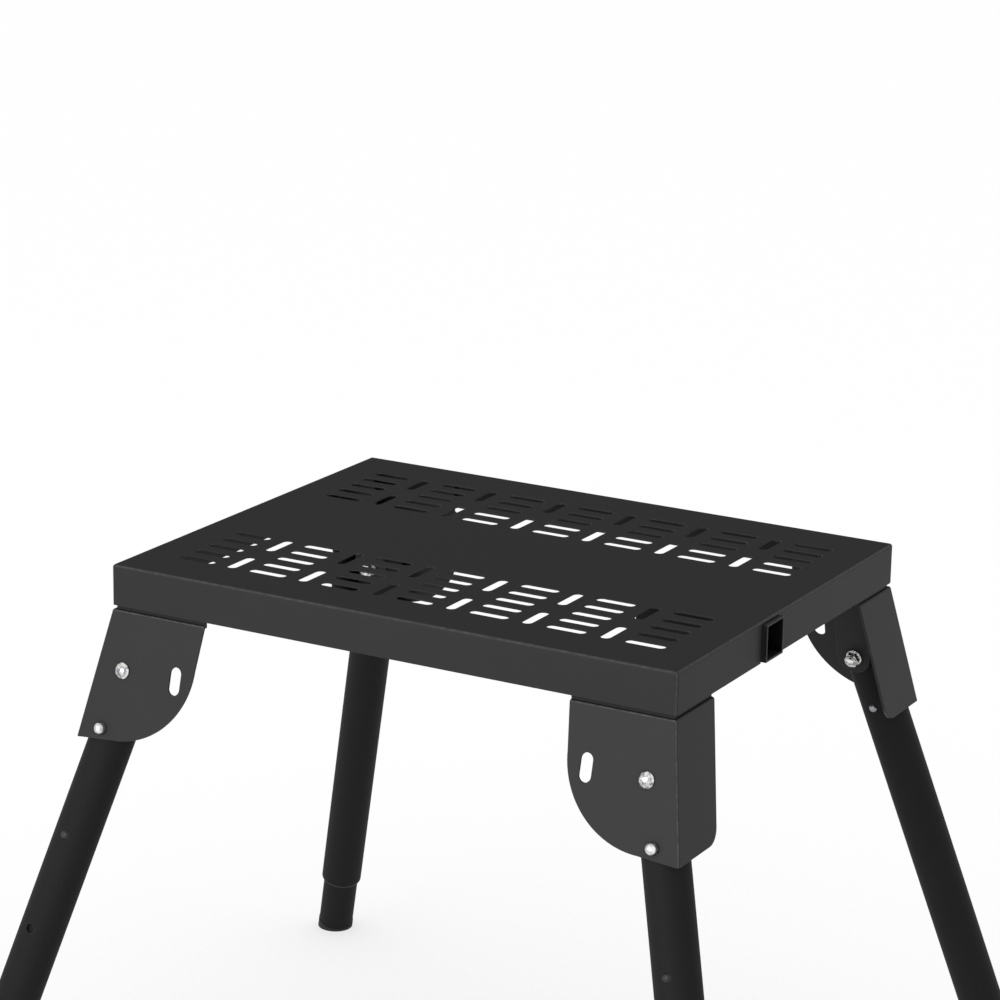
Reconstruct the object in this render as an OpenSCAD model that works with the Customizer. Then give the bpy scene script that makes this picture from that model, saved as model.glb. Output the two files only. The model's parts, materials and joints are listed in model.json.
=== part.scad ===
// Folding power tool stand: a pressed steel table on four splayed, telescoping legs that fold up under it.
// Millimetres. Z is up, X runs along the table, Y to its rear. The origin is on the floor, below the
// middle of the table. Angles are in degrees. The stand is drawn open, at its lowest height setting.

/* [Table] */
// Length of the table, along X
table_length = 600; // [590:5:680]
// Depth of the table, along Y
table_depth = 470; // [460:5:540]
// Height of the turned-down flange, measured from the table's top
flange_height = 40; // [36:1:46]
// Thickness of the table's sheet steel
table_sheet = 1.2; // [1:0.1:2]
// Outside radius of the table's pressed edges and corners
table_edge_r = 3; // [2.4:0.2:4]

/* [Mounting slots] */
// Length of a slot, end to end
slot_length = 40; // [34:1:44]
// Width of a slot
slot_width = 10.5; // [8:0.5:12]
// Distance between neighbouring groups of slots, along X
group_pitch = 80; // [76:1:82]
// Distance between neighbouring rows of slots, along Y
row_pitch = 24; // [20:1:25]
// Distance from the table's middle line to the middle of a band of slots
band_offset = 131; // [120:1:132]

/* [Support arm receiver] */
// Outside width and height of the square receiver tube
receiver_size = 36; // [30:1:38]
// Wall of the receiver tube
receiver_wall = 2; // [1.5:0.25:3]
// Length of the receiver tube
receiver_length = 134; // [100:1:150]
// How far the receiver tube stands out of the end flange
receiver_stand_out = 4.2; // [2:0.2:8]
// Distance of the receiver tube's middle in front of the table's middle
receiver_forward = 44; // [30:1:70]
// Thickness of the strip that spaces the receiver tube off the sheet
spacer_thickness = 2.2; // [1.5:0.1:4]
// Room left in the flange's notch on each side of the receiver tube
notch_gap = 2.5; // [1.5:0.1:4]

/* [Corner brackets] */
// Thickness of the brackets' steel
bracket_sheet = 2.5; // [2:0.1:3]
// Width of a bracket's face plate along its top
face_width = 103; // [98:1:112]
// Height of a face plate along its slope, at its inner end
face_height = 122; // [118:1:130]
// How much lower the face plate's bottom edge is at the bend
face_fall = 3; // [0:0.5:6]
// Radius of the face plate's round lower corner
face_corner_r = 83; // [70:1:90]
// Lean of the face plate outwards from the vertical
face_lean = 14; // [12:0.5:15]
// Width of the end plate along its top
end_width = 73; // [66:1:78]
// Radius of the end plate's free lower corner
end_corner_r = 18; // [10:1:24]
// Height of the dark step between the flange and the bracket
step_height = 4; // [3:0.5:6]
// Depth of that step behind the bracket's face
step_depth = 2.6; // [2:0.1:2.6]
// Width of the weld web under the sheet, along the front and rear flanges
web_width = 44; // [38:1:46]
// Width of the inner ear that carries the pivot's other end
ear_width = 35; // [32:1:38]

/* [Pivots and fold locks] */
// Distance of a pivot from the end of the table
pivot_inset = 20.5; // [19:0.5:24]
// Distance of a pivot below the table's top
pivot_drop = 105; // [100:0.5:110]
// Diameter of the pivot bolts
bolt_d = 8; // [6:0.5:8]
// Diameter of a pivot bolt's domed head
bolt_head_d = 16; // [14:0.5:18]
// Outside diameter of the spacer sleeve that a leg carries
sleeve_d = 12; // [11:0.5:14]
// Distance from a pivot to its fold lock button
lock_radius = 60; // [57:0.5:62]
// Diameter of a fold lock button
lock_d = 10.5; // [9:0.5:11.5]
// How far a fold lock button stands out of the bracket's face
lock_stand_out = 8; // [5:0.5:10]
// Length of the slot that holds a folded leg
fold_slot_length = 27; // [26:0.5:30]
// Width of that slot
fold_slot_width = 12.5; // [12:0.5:14]

/* [Legs] */
// Outside diameter of the leg tubes
leg_d = 44; // [42:0.5:45]
// Wall of the leg tubes
leg_wall = 1.5; // [1.2:0.1:2]
// Distance from the pivot to the lower end of a leg tube
leg_reach = 450; // [420:5:470]
// Height of a leg tube above its pivot
leg_tail = 15; // [12:0.5:16]
// Lean of a leg along its bracket's face, outwards
leg_splay = 14.7; // [12:0.1:15]
// Height of the table's top at the lowest setting
table_height = 600; // [580:5:602]
// Outside diameter of the leg extensions
extension_d = 38; // [36:0.5:39]
// Wall of the leg extensions
extension_wall = 1.5; // [1.2:0.1:2]
// Distance from the pivot to the lowest height hole
height_hole_reach = 173; // [165:1:190]
// Distance between neighbouring height holes
height_step = 100; // [70:5:105]
// Diameter of a height button
height_button_d = 8.9; // [7:0.1:10]
// How far a height button stands out of its leg tube
height_button_stand_out = 2; // [1:0.5:4]

/* [Feet] */
// How much wider a rubber foot is than its tube, all round
foot_wall = 0.5; // [0.3:0.1:1]
// Height of a foot along its leg, below the tube
foot_height = 10.4; // [9:0.2:16]

/* [Hidden] */
$fn = 64;
// How far a cut runs past the face that it opens
overrun = 1;

// Colours
coat_colour = "#353637";
leg_colour = "#262627";
zinc_colour = "#c9ccd0";
nylon_colour = "#1d1d1f";
rubber_colour = "#191919";

// Groups and rows of slots in each band
group_count = 7;
row_count = 5;

// How far the face plate's inner edge runs in towards its round corner, how far the ear stands off its
// pivot, and how far the web keeps off the slots
face_narrowing = 4.5;
ear_shift = 1;
web_margin = 0.5;

// Clearances: a leg tube between its plates and at its stop, a sleeve between the plates, a bolt in its
// hole and in its sleeve, a button in its hole, an extension in its bush, a glide in its tube, and a
// spring strip in its tube
plate_clear = 0.8;
stop_clear = 0.4;
sleeve_clear = 0.4;
bolt_clear = 0.2;
turn_clear = 0.3;
button_clear = 0.3;
guide_clear = 0.3;
glide_clear = 0.3;
strip_clear = 0.3;

// Heights
pivot_z = table_height - pivot_drop;
sheet_z = table_height - table_sheet;
flange_z = table_height - flange_height;
step_z = flange_z - step_height;
web_z = sheet_z - bracket_sheet;

// The plates that a leg turns between, measured from the leg's own axis
leg_r = leg_d / 2;
plate_in = leg_r + plate_clear;
plate_out = plate_in + bracket_sheet;

// A face plate is flush with the flange at the step and leans out below it. The pivot lies between the
// sloping plates, so its distance from the table's middle follows from its height
pivot_x = table_length / 2 - pivot_inset;
pivot_y = table_depth / 2 - plate_out / cos(face_lean) + (step_z - pivot_z) * tan(face_lean);

// An end plate is flush with the end flange at the step. It leans out just so far that the side of an
// open leg meets it at its lower edge, which is the leg's stop
stop_drop = (face_height + face_fall) * cos(face_lean) + bracket_sheet;
stop_run = (stop_drop + pivot_z - step_z) / cos(face_lean) * tan(leg_splay)
    + leg_r / cos(leg_splay) + stop_clear - pivot_inset;
end_lean_near = atan((stop_run + bracket_sheet) / stop_drop);
end_lean = atan((stop_run + bracket_sheet / cos(end_lean_near)) / stop_drop);

// The point inside the bracket where face plate, end plate and step meet. A bend swings the sheet's
// thickness about such an inside line, from one plate's normal to the next
corner_x = table_length / 2 - bracket_sheet / cos(end_lean) + bracket_sheet * tan(end_lean);
corner_y = -table_depth / 2 + bracket_sheet / cos(face_lean) - bracket_sheet * tan(face_lean);
corner_z = step_z - bracket_sheet;
bend_lean = atan(cos(face_lean) * tan(end_lean));
bend_angle = acos(sin(face_lean) * sin(end_lean));
bend_lap = 20;
corner_out = [cos(end_lean), -cos(face_lean), sin(face_lean) + sin(end_lean) + 1];
corner_start_share = 0.25;
corner_ball_share = 1.008;
// The straight edges run into the round corner this much inside it, so that they cross it
touch_share = 0.998;

// The same point and the plate's outline in the sloping frame of the pivot
bend_u = corner_x - pivot_x;
bend_v = (corner_z - pivot_z - plate_in * sin(face_lean)) / cos(face_lean);
face_bottom = bend_v - face_height;
bend_bottom = face_bottom - face_fall;
face_left = bend_u - face_width;
round_u = face_left + face_narrowing + face_corner_r;
round_v = face_bottom + face_corner_r;

// The neck inside the table, and the inner ear
neck_x = table_length / 2 - step_depth;
neck_y = table_depth / 2 - step_depth;
ear_left = -ear_width / 2 - ear_shift;
ear_below = ear_width / 2;
ear_top = (sheet_z - pivot_z + plate_out) / cos(face_lean);

// Pivot hardware
head_rim_share = 0.2;
head_height_share = 0.32;
head_height = bolt_head_d * head_height_share;
head_dome = head_height * (1 - head_rim_share);
head_sphere_r = (bolt_head_d * bolt_head_d / 4 + head_dome * head_dome) / (2 * head_dome);
washer_share = 2;
washer_d = bolt_d * washer_share;
washer_t = bolt_d / 5;
nut_flats_share = 1.6;
nut_d = bolt_d * nut_flats_share / cos(30);
nut_height = bolt_d * 0.8;
nut_collar = bolt_d / 4;
nut_end = plate_out + washer_t + nut_height + nut_collar;
bolt_end = nut_end + bolt_d / 5;

// The inside of a leg tube and of an extension
leg_bore_r = leg_r - leg_wall;
extension_r = extension_d / 2;
extension_bore_r = extension_r - extension_wall;

// The fold lock: a spring strip bent double across the tube, with a button on one end and a small
// locating stud on the other
strip_w = 10;
strip_t = 1;
fold_strip_y = sqrt(leg_bore_r * leg_bore_r - strip_w * strip_w / 4) - strip_clear;
fold_strip_top = -lock_radius + lock_d;
fold_strip_bottom = -lock_radius - lock_d * 1.5;
fold_button_end = plate_out + lock_stand_out;
stud_d = lock_d * 0.76;
stud_end = leg_r + lock_stand_out * 0.375;
button_dome_share = 0.3;

// The height lock, of the same kind, inside the extension
height_strip_y = sqrt(extension_bore_r * extension_bore_r - strip_w * strip_w / 4) - strip_clear;
height_strip_top = -height_hole_reach + height_button_d;
height_strip_bottom = -height_hole_reach - height_button_d * 1.5;
height_button_end = leg_r + height_button_stand_out;
height_hole_count = 3;

// The extension's ends, its glide, and the bush that guides it
extension_head = extension_d * 0.8;
extension_top = extension_head - height_hole_reach;
collar_height = extension_d / 6;
glide_plug = extension_d / 4;
bush_length = extension_d * 0.75;
bush_lip = leg_wall;

// The feet. A leg leans two ways, so its length takes both leans
leg_rise_share = cos(leg_splay) * cos(face_lean);
leg_length = pivot_z / leg_rise_share;
extension_end = leg_length - foot_height;
foot_r = extension_r + foot_wall;
foot_plug = extension_d / 2;

// The point where a line from a point touches a circle, on the side that a sign gives
function touch(p, c, r, side) =
    let (d = p - c, a = atan2(d[1], d[0]) + side * acos(r / norm(d))) c + r * [cos(a), sin(a)];

// Draws a part of the front right corner at any of the four corners
module at_corner(left, rear) {
    mirror([left ? 1 : 0, 0, 0]) mirror([0, rear ? 1 : 0, 0]) children();
}

// Draws at all four corners
module at_all_corners() {
    for (left = [false, true], rear = [false, true]) at_corner(left, rear) children();
}

// Moves to the front right pivot and leans with the bracket's face. There X runs outwards along the
// table, Z up the slope, and -Y out of the face
module at_pivot() {
    translate([pivot_x, -pivot_y, pivot_z]) rotate([-face_lean, 0, 0]) children();
}

// From there, leans with the leg, which runs down along -Z from its pivot
module along_leg() {
    at_pivot() rotate([0, -leg_splay, 0]) children();
}

// Moves to the point inside the bracket where its plates meet
module at_bend() {
    translate([corner_x, corner_y, corner_z]) children();
}

// A bar along Y from one distance to another, for bolts, holes and buttons
module bar_y(d, from, to) {
    translate([0, to, 0]) rotate([90, 0, 0]) cylinder(d = d, h = to - from);
}

// A tube, or a plug, along the leg from one distance below the pivot to another
module leg_bar(r, from, to) {
    translate([0, 0, -to]) cylinder(r = r, h = to - from);
}

module slot_outline(length, width) {
    straight = length - width;
    square([straight, width], center = true);
    for (side = [-1, 1]) translate([side * straight / 2, 0]) circle(d = width);
}

// One band of slots: groups of rows along X, with a pair across between two groups
module slot_band() {
    band_depth = (row_count - 1) * row_pitch + slot_width;
    pair_offset = (band_depth - slot_length) / 2;
    for (g = [0 : group_count - 1], r = [0 : row_count - 1])
        translate([(g - (group_count - 1) / 2) * group_pitch, (r - (row_count - 1) / 2) * row_pitch])
            slot_outline(slot_length, slot_width);
    for (g = [0 : group_count - 2], side = [-1, 1])
        translate([(g - (group_count - 2) / 2) * group_pitch, side * pair_offset])
            rotate(90) slot_outline(slot_length, slot_width);
}

// A block below zero with rounded upper edges and corners
module pressed_block(length, depth, height, r) {
    flat_length = length - 2 * r;
    flat_depth = depth - 2 * r;
    translate([-flat_length / 2, -flat_depth / 2, -height]) cube([flat_length, flat_depth, height]);
    translate([0, 0, -height]) linear_extrude(height - r) {
        square([length, flat_depth], center = true);
        square([flat_length, depth], center = true);
        for (x = [-1, 1], y = [-1, 1]) translate([x * flat_length / 2, y * flat_depth / 2]) circle(r = r);
    }
    translate([0, 0, -r]) {
        for (y = [-1, 1]) translate([-flat_length / 2, y * flat_depth / 2, 0])
            rotate([0, 90, 0]) cylinder(r = r, h = flat_length);
        for (x = [-1, 1]) translate([x * flat_length / 2, flat_depth / 2, 0])
            rotate([90, 0, 0]) cylinder(r = r, h = flat_depth);
        for (x = [-1, 1], y = [-1, 1]) translate([x * flat_length / 2, y * flat_depth / 2, 0]) sphere(r = r);
    }
}

module table_top() {
    color(coat_colour) difference() {
        translate([0, 0, table_height])
            pressed_block(table_length, table_depth, flange_height, table_edge_r);
        translate([0, 0, sheet_z])
            pressed_block(table_length - 2 * table_sheet, table_depth - 2 * table_sheet,
                flange_height + overrun, table_edge_r - table_sheet);
        for (side = [-1, 1]) translate([0, side * band_offset, sheet_z - overrun])
            linear_extrude(table_sheet + 2 * overrun) slot_band();
        receiver_notch();
    }
}

// The notch in the right flange, open below, that the receiver tube stands in
module receiver_notch() {
    width = receiver_size + 2 * notch_gap;
    height = flange_height - table_edge_r;
    translate([table_length / 2 - table_edge_r, -receiver_forward - width / 2, flange_z - overrun])
        cube([table_edge_r + overrun, width, height + overrun]);
}

// A square tube with a spacer strip along its top, welded under the sheet and open at its outer end
module support_arm_receiver() {
    bore = receiver_size - 2 * receiver_wall;
    end_x = table_length / 2 + receiver_stand_out;
    strip_width = receiver_size * 0.6;
    strip_length = receiver_length - receiver_stand_out - receiver_size / 2;
    color(coat_colour) translate([end_x - receiver_length, -receiver_forward, sheet_z - spacer_thickness]) {
        difference() {
            translate([0, -receiver_size / 2, -receiver_size])
                cube([receiver_length, receiver_size, receiver_size]);
            translate([-overrun, -bore / 2, receiver_wall - receiver_size])
                cube([receiver_length + 2 * overrun, bore, bore]);
        }
        translate([0, -strip_width / 2, 0]) cube([strip_length, strip_width, spacer_thickness]);
    }
}

// The part of a disc between two angles, less than a half turn apart
module pie(r, from, to) {
    near = 2 * r * [cos(from), sin(from)];
    far = 2 * r * [cos(to), sin(to)];
    intersection() {
        circle(r = r, $fn = 2 * $fn);
        polygon([[0, 0], near, near + far, far]);
    }
}

// The outside of a bend, between the directions of two plates' normals. It runs on into both plates
module bend(length, from, to) {
    linear_extrude(length) pie(bracket_sheet, from - bend_lap, to + bend_lap);
}

// Outline of a face plate in the sloping frame of its pivot: X outwards, Y up the slope
module face_outline() {
    round_c = [round_u, round_v];
    top_left = [face_left, bend_v];
    bottom_u = bend_u + (bend_v - bend_bottom) * tan(bend_lean);
    bottom_right = [bottom_u, bend_bottom];
    side_end = touch(top_left, round_c, face_corner_r * touch_share, 1);
    bottom_end = touch(bottom_right, round_c, face_corner_r * touch_share, -1);
    polygon([top_left, side_end, bottom_end, bottom_right, [bend_u, bend_v]]);
    side_dir = side_end - round_c;
    bottom_dir = bottom_end - round_c;
    from = atan2(side_dir[1], side_dir[0]) - bend_lap;
    to = atan2(bottom_dir[1], bottom_dir[0]) + bend_lap;
    translate(round_c) pie(face_corner_r, from, to);
}

// Outline of an end plate from the bend: X to the rear, Y up the plate
module end_outline() {
    slope = tan(face_lean) * cos(end_lean);
    bottom = (bend_bottom - bend_v) * cos(face_lean) / cos(end_lean);
    side = sqrt(1 + slope * slope);
    round_z = bottom + end_corner_r;
    round_y = end_width + slope * round_z - end_corner_r * side;
    polygon([
        [0, 0], [end_width, 0], [round_y + end_corner_r / side, round_z - end_corner_r * slope / side],
        [round_y, round_z], [round_y, bottom], [slope * bottom, bottom]
    ]);
    translate([round_y, round_z]) circle(r = end_corner_r);
}

// Plan of the step, which runs in from the bends to the neck
module step_plan() {
    inner_x = neck_x - bracket_sheet;
    inner_y = bracket_sheet - neck_y;
    translate([corner_x - face_width, corner_y]) square([face_width, inner_y - corner_y]);
    translate([inner_x, inner_y]) square([corner_x - inner_x, corner_y + end_width - inner_y]);
}

// Plan of the neck that joins the plates to the sheet inside the flange
module neck_plan() {
    inner_x = neck_x - bracket_sheet;
    inner_y = bracket_sheet - neck_y;
    translate([corner_x - face_width, -neck_y]) square([inner_x - corner_x + face_width, bracket_sheet]);
    translate([inner_x, inner_y]) square([bracket_sheet, corner_y + end_width - inner_y]);
    translate([inner_x, inner_y]) pie(bracket_sheet, -90 - bend_lap, bend_lap);
}

// The outward part of a ball at the corner. It stands proud of the bends by a hair, so they end in it
module bend_corner() {
    ball_r = bracket_sheet * corner_ball_share;
    intersection() {
        sphere(r = ball_r);
        rotate([0, acos(corner_out[2] / norm(corner_out)), atan2(corner_out[1], corner_out[0])])
            translate([-ball_r, -ball_r, ball_r * corner_start_share])
                cube([2 * ball_r, 2 * ball_r, ball_r]);
    }
}

// The bracket, cut from one sheet and pressed: two leaning plates, the step, the neck, the web and the ear
module bracket() {
    bend_length = (bend_v - bend_bottom) / cos(bend_lean);
    difference() {
        union() {
            // Face plate, end plate and the bend between them
            at_pivot() translate([0, -plate_in, 0]) rotate([90, 0, 0])
                linear_extrude(bracket_sheet) face_outline();
            at_bend() rotate([0, -end_lean, 0]) rotate([90, 0, 90])
                linear_extrude(bracket_sheet) end_outline();
            at_bend() rotate([-face_lean, 0, 0]) rotate([0, -bend_lean, 0])
                translate([0, 0, -bend_length]) bend(bend_length, -90, bend_angle - 90);
            // The step and its two bends, and the corner where all three bends meet
            at_bend() {
                translate([-face_width, 0, 0]) rotate([90, 0, 90]) bend(face_width, 90, 180 - face_lean);
                translate([0, end_width, 0]) rotate([90, 0, 0]) bend(end_width, end_lean, 90);
                bend_corner();
            }
            translate([0, 0, corner_z]) linear_extrude(bracket_sheet) step_plan();
            // The neck and the web
            translate([0, 0, step_z]) linear_extrude(sheet_z - step_z) neck_plan();
            translate([0, 0, web_z]) linear_extrude(bracket_sheet) web_plan();
            ear();
        }
        at_pivot() {
            bar_y(bolt_d + 2 * bolt_clear, -plate_out - overrun, plate_out + overrun);
            rotate([0, -leg_splay, 0]) translate([0, 0, -lock_radius])
                bar_y(lock_d + 2 * button_clear, -plate_out - overrun, -plate_in + overrun);
            translate([-lock_radius, -plate_in + overrun, 0]) rotate([90, 0, 0])
                linear_extrude(bracket_sheet + 2 * overrun)
                    rotate(90) slot_outline(fold_slot_length, fold_slot_width);
        }
    }
}

// Plan of the web that is welded under the sheet, which leaves the slots clear
module web_plan() {
    slots_x = (group_count - 1) / 2 * group_pitch + slot_length / 2;
    slots_y = band_offset + (row_count - 1) / 2 * row_pitch + slot_width / 2;
    inner_y = max(neck_y - web_width, slots_y + web_margin);
    inner_x = slots_x + web_margin;
    translate([corner_x - face_width, -neck_y + bracket_sheet])
        square([neck_x - bracket_sheet - corner_x + face_width, neck_y - inner_y - bracket_sheet]);
    translate([inner_x, -neck_y + bracket_sheet])
        square([neck_x - bracket_sheet - inner_x, corner_y + end_width + neck_y - bracket_sheet]);
}

// The inner ear: a plate parallel to the face plate, round below its pivot hole
module ear() {
    intersection() {
        at_pivot() translate([0, plate_out, 0]) rotate([90, 0, 0]) linear_extrude(bracket_sheet) {
            translate([ear_left, 0]) square([ear_width, ear_top]);
            translate([ear_left + ear_below, 0]) circle(r = ear_below);
        }
        translate([pivot_x - table_length, -table_depth, 0])
            cube([2 * table_length, table_depth, sheet_z]);
    }
}

module front_left_bracket() {
    color(coat_colour) at_corner(true, false) bracket();
}

module front_right_bracket() {
    color(coat_colour) at_corner(false, false) bracket();
}

module rear_left_bracket() {
    color(coat_colour) at_corner(true, true) bracket();
}

module rear_right_bracket() {
    color(coat_colour) at_corner(false, true) bracket();
}

// A domed head on a plain shank, drawn along Y
module pivot_bolt() {
    bar_y(bolt_d, -plate_out, bolt_end);
    intersection() {
        bar_y(bolt_head_d, -plate_out - head_height, -plate_out);
        translate([0, head_sphere_r - plate_out - head_height, 0]) rotate([90, 0, 0])
            sphere(r = head_sphere_r);
    }
}

module pivot_bolts() {
    color(zinc_colour) at_all_corners() at_pivot() pivot_bolt();
}

module pivot_washers() {
    color(zinc_colour) at_all_corners() at_pivot() difference() {
        bar_y(washer_d, plate_out, plate_out + washer_t);
        bar_y(bolt_d, plate_out - overrun, plate_out + washer_t + overrun);
    }
}

// A hexagon nut with the round collar that holds its locking ring
module lock_nut() {
    seat = plate_out + washer_t;
    difference() {
        union() {
            translate([0, seat + nut_height, 0]) rotate([90, 0, 0])
                cylinder(d = nut_d, h = nut_height, $fn = 6);
            bar_y(nut_d * cos(30) * 0.92, seat, nut_end);
        }
        bar_y(bolt_d, seat - overrun, nut_end + overrun);
    }
}

module pivot_lock_nuts() {
    color(zinc_colour) at_all_corners() at_pivot() lock_nut();
}

// A leg tube with its holes for the sleeve, the fold lock and the height button
module leg_tube() {
    difference() {
        leg_bar(leg_r, -leg_tail, leg_reach);
        leg_bar(leg_bore_r, -leg_tail - overrun, leg_reach + overrun);
        bar_y(sleeve_d, -leg_r - overrun, leg_r + overrun);
        translate([0, 0, -lock_radius]) {
            bar_y(lock_d + 2 * button_clear, -leg_r - overrun, 0);
            bar_y(stud_d, 0, leg_r + overrun);
        }
        for (hole = [0 : height_hole_count - 1])
            translate([0, 0, -height_hole_reach - hole * height_step])
                bar_y(height_button_d + 2 * button_clear, -leg_r - overrun, 0);
    }
}

// A spacer tube across the leg, which turns on the pivot bolt
module sleeve() {
    reach = plate_in - sleeve_clear;
    difference() {
        bar_y(sleeve_d, -reach, reach);
        bar_y(bolt_d + 2 * turn_clear, -reach - overrun, reach + overrun);
    }
}

// Half a ring of strip, from one wall of a tube to the other
module strip_bend(y) {
    rotate([90, 0, 90]) translate([0, 0, -strip_w / 2]) rotate(180)
        rotate_extrude(angle = 180) translate([y - strip_t, 0]) square([strip_t, strip_w]);
}

// A button that stands on a strip: a round bar from the strip out to its domed end
module button(d, from, end) {
    dome = d * button_dome_share;
    sphere_r = (d * d / 4 + dome * dome) / (2 * dome);
    intersection() {
        bar_y(d, -end, -from);
        translate([0, sphere_r - end, 0]) rotate([90, 0, 0]) sphere(r = sphere_r);
    }
}

// The half of the fold lock that stays put: its stud, its strip and the bend across the tube
module lock_spring() {
    translate([0, 0, -lock_radius]) mirror([0, 1, 0]) button(stud_d, fold_strip_y, stud_end);
    translate([-strip_w / 2, fold_strip_y - strip_t, fold_strip_bottom])
        cube([strip_w, strip_t, fold_strip_top - fold_strip_bottom]);
    translate([0, 0, fold_strip_bottom]) strip_bend(fold_strip_y);
}

// The half that is pressed in: the button and its strip
module fold_lock() {
    translate([0, 0, -lock_radius]) button(lock_d, fold_strip_y, fold_button_end);
    translate([-strip_w / 2, -fold_strip_y, fold_strip_bottom])
        cube([strip_w, strip_t, fold_strip_top - fold_strip_bottom]);
}

// The bush that guides the extension in the leg tube's lower end
module guide_bush() {
    difference() {
        union() {
            leg_bar(leg_bore_r, leg_reach - bush_length, leg_reach + bush_lip);
            leg_bar(leg_r, leg_reach, leg_reach + bush_lip);
        }
        leg_bar(extension_r + guide_clear, leg_reach - bush_length - overrun, leg_reach + bush_lip + overrun);
    }
}

module extension() {
    difference() {
        leg_bar(extension_r, -extension_top, extension_end);
        leg_bar(extension_bore_r, -extension_top - overrun, extension_end + overrun);
        translate([0, 0, -height_hole_reach])
            bar_y(height_button_d + 2 * button_clear, -extension_r - overrun, 0);
    }
}

// The collar that guides the extension's upper end, with a plug in the tube
module glide() {
    difference() {
        union() {
            leg_bar(leg_bore_r - glide_clear, -extension_top - collar_height, -extension_top);
            leg_bar(extension_bore_r, -extension_top - collar_height, -extension_top + glide_plug);
        }
        leg_bar(extension_bore_r - 2 * extension_wall, -extension_top - collar_height - overrun,
            -extension_top + glide_plug + overrun);
    }
}

// The spring button that holds the extension at its height: a strip bent double, inside the extension
module height_lock() {
    translate([0, 0, -height_hole_reach]) button(height_button_d, height_strip_y, height_button_end);
    for (y = [-height_strip_y, height_strip_y - strip_t])
        translate([-strip_w / 2, y, height_strip_bottom])
            cube([strip_w, strip_t, height_strip_top - height_strip_bottom]);
    translate([0, 0, height_strip_bottom]) strip_bend(height_strip_y);
}

// A rubber foot: a plug in the extension and a head, cut level with the floor
module foot() {
    intersection() {
        along_leg() {
            leg_bar(extension_bore_r, extension_end - foot_plug, extension_end + foot_height);
            leg_bar(foot_r, extension_end, leg_length + leg_d);
        }
        translate([0, -table_length, 0]) cube([2 * table_length, table_length, pivot_z]);
    }
}

module front_left_leg_tube() {
    color(leg_colour) at_corner(true, false) along_leg() leg_tube();
}

module front_right_leg_tube() {
    color(leg_colour) at_corner(false, false) along_leg() leg_tube();
}

module rear_left_leg_tube() {
    color(leg_colour) at_corner(true, true) along_leg() leg_tube();
}

module rear_right_leg_tube() {
    color(leg_colour) at_corner(false, true) along_leg() leg_tube();
}

module front_left_sleeve() {
    color(zinc_colour) at_corner(true, false) along_leg() sleeve();
}

module front_right_sleeve() {
    color(zinc_colour) at_corner(false, false) along_leg() sleeve();
}

module rear_left_sleeve() {
    color(zinc_colour) at_corner(true, true) along_leg() sleeve();
}

module rear_right_sleeve() {
    color(zinc_colour) at_corner(false, true) along_leg() sleeve();
}

module front_left_lock_spring() {
    color(zinc_colour) at_corner(true, false) along_leg() lock_spring();
}

module front_right_lock_spring() {
    color(zinc_colour) at_corner(false, false) along_leg() lock_spring();
}

module rear_left_lock_spring() {
    color(zinc_colour) at_corner(true, true) along_leg() lock_spring();
}

module rear_right_lock_spring() {
    color(zinc_colour) at_corner(false, true) along_leg() lock_spring();
}

module front_left_fold_lock() {
    color(zinc_colour) at_corner(true, false) along_leg() fold_lock();
}

module front_right_fold_lock() {
    color(zinc_colour) at_corner(false, false) along_leg() fold_lock();
}

module rear_left_fold_lock() {
    color(zinc_colour) at_corner(true, true) along_leg() fold_lock();
}

module rear_right_fold_lock() {
    color(zinc_colour) at_corner(false, true) along_leg() fold_lock();
}

module front_left_guide_bush() {
    color(nylon_colour) at_corner(true, false) along_leg() guide_bush();
}

module front_right_guide_bush() {
    color(nylon_colour) at_corner(false, false) along_leg() guide_bush();
}

module rear_left_guide_bush() {
    color(nylon_colour) at_corner(true, true) along_leg() guide_bush();
}

module rear_right_guide_bush() {
    color(nylon_colour) at_corner(false, true) along_leg() guide_bush();
}

module front_left_extension() {
    color(leg_colour) at_corner(true, false) along_leg() extension();
}

module front_right_extension() {
    color(leg_colour) at_corner(false, false) along_leg() extension();
}

module rear_left_extension() {
    color(leg_colour) at_corner(true, true) along_leg() extension();
}

module rear_right_extension() {
    color(leg_colour) at_corner(false, true) along_leg() extension();
}

module front_left_glide() {
    color(nylon_colour) at_corner(true, false) along_leg() glide();
}

module front_right_glide() {
    color(nylon_colour) at_corner(false, false) along_leg() glide();
}

module rear_left_glide() {
    color(nylon_colour) at_corner(true, true) along_leg() glide();
}

module rear_right_glide() {
    color(nylon_colour) at_corner(false, true) along_leg() glide();
}

module front_left_height_lock() {
    color(nylon_colour) at_corner(true, false) along_leg() height_lock();
}

module front_right_height_lock() {
    color(nylon_colour) at_corner(false, false) along_leg() height_lock();
}

module rear_left_height_lock() {
    color(nylon_colour) at_corner(true, true) along_leg() height_lock();
}

module rear_right_height_lock() {
    color(nylon_colour) at_corner(false, true) along_leg() height_lock();
}

module front_left_foot() {
    color(rubber_colour) at_corner(true, false) foot();
}

module front_right_foot() {
    color(rubber_colour) at_corner(false, false) foot();
}

module rear_left_foot() {
    color(rubber_colour) at_corner(true, true) foot();
}

module rear_right_foot() {
    color(rubber_colour) at_corner(false, true) foot();
}

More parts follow.
